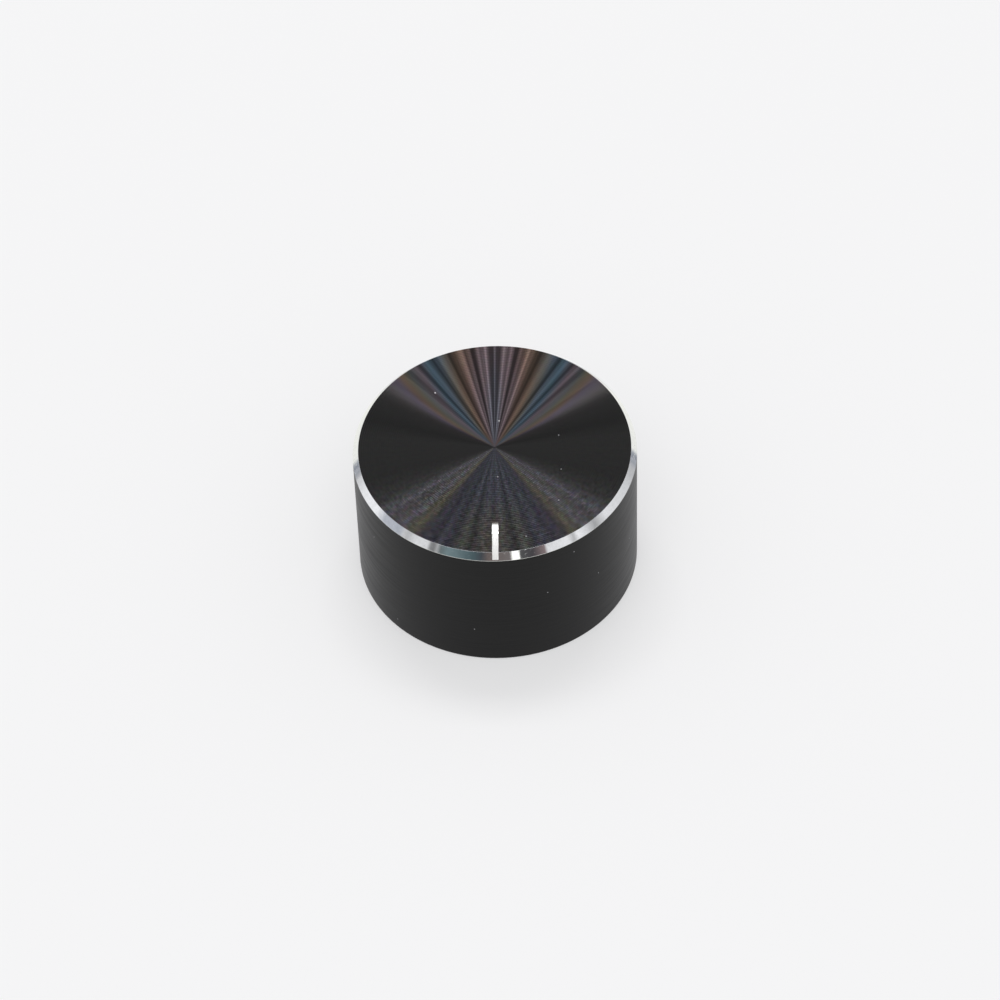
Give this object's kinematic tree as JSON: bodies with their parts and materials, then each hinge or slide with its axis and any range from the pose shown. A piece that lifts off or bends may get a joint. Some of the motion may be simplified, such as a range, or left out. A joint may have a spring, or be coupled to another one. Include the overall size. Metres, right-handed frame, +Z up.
{
  "type": "control knob",
  "caption": "Round black metal control knob with a bright bevelled edge and pointer line, a shaft bore underneath and a grub screw in its side.",
  "frame": {"origin": "centre of the bottom rim, on the shaft axis", "axes": "+Z up the shaft axis to the closed top; the pointer line lies along -Y; the grub screw and its key hole lie along +Y; +X completes the frame"},
  "size_m": [0.03, 0.03, 0.017],
  "materials": {
    "shell": "black anodised, spun on the face, with the bevel and pointer line cut back to bare metal",
    "core": "moulded",
    "bush": "turned",
    "grub_screw": "black oxide"
  },
  "bodies": {
    "root": {"shell": "shell", "core": "core", "bush": "bush", "grub_screw": "grub_screw"}
  },
  "joints": []
}
